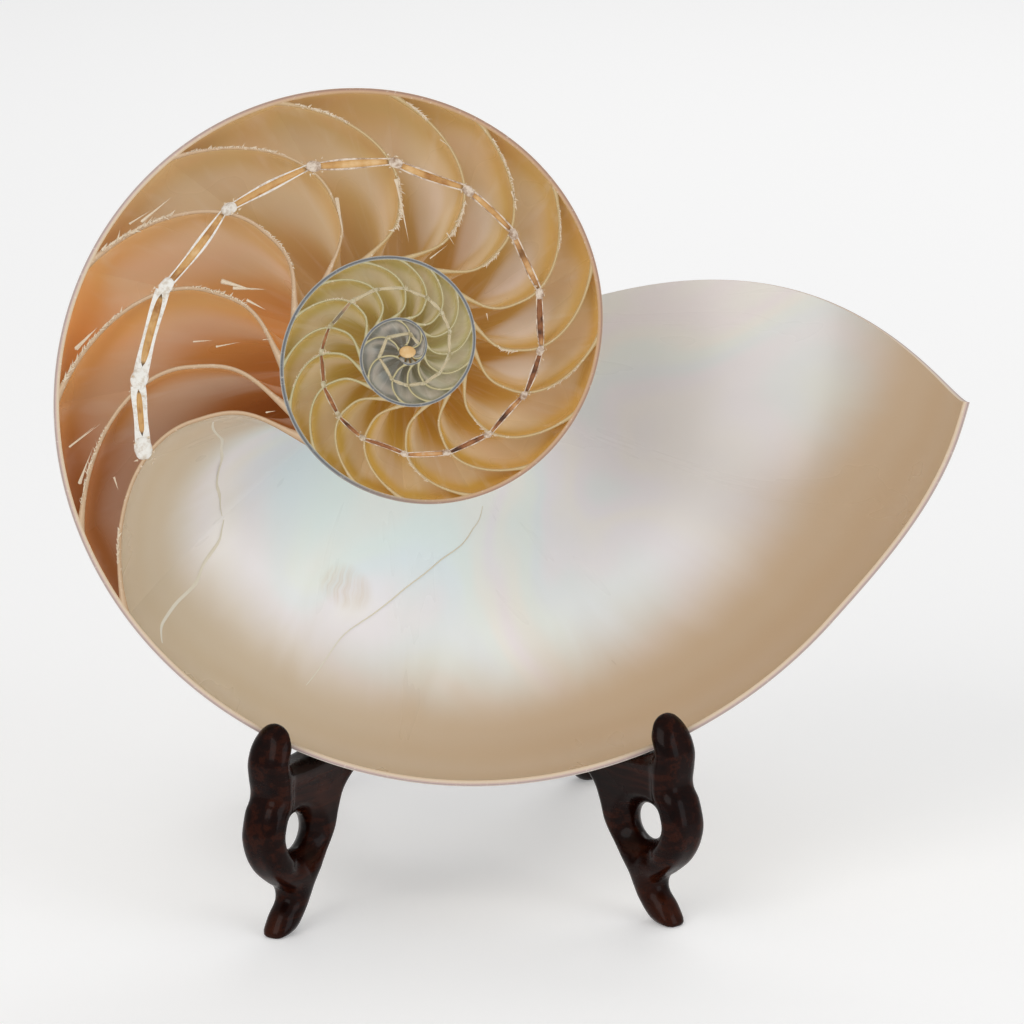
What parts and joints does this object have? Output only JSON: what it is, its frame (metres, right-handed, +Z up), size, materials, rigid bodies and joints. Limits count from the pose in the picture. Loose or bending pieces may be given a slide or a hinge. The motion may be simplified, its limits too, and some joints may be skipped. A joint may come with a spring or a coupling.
{
  "type": "nautilus shell half on carved wooden stand",
  "caption": "Nautilus shell sawn in half along its middle plane to show its chambers, resting on a stand of two carved dark wood boards crossed in an X.",
  "frame": {"origin": "under the middle of the whole object's box, on the surface it stands on", "axes": "+Z up; +X along the shell's length, towards its opening; -Y towards the viewer, the way the sawn face looks"},
  "size_m": [0.1652, 0.1044, 0.1495],
  "materials": {
    "shell": "natural shell: pearly nacre inside, satin cream outside with brown flame stripes",
    "dark_wood": "polished, dark red-brown"
  },
  "bodies": {
    "root": {"shell_half": "shell", "stand_board_left": "dark_wood", "stand_board_right": "dark_wood"}
  },
  "joints": []
}
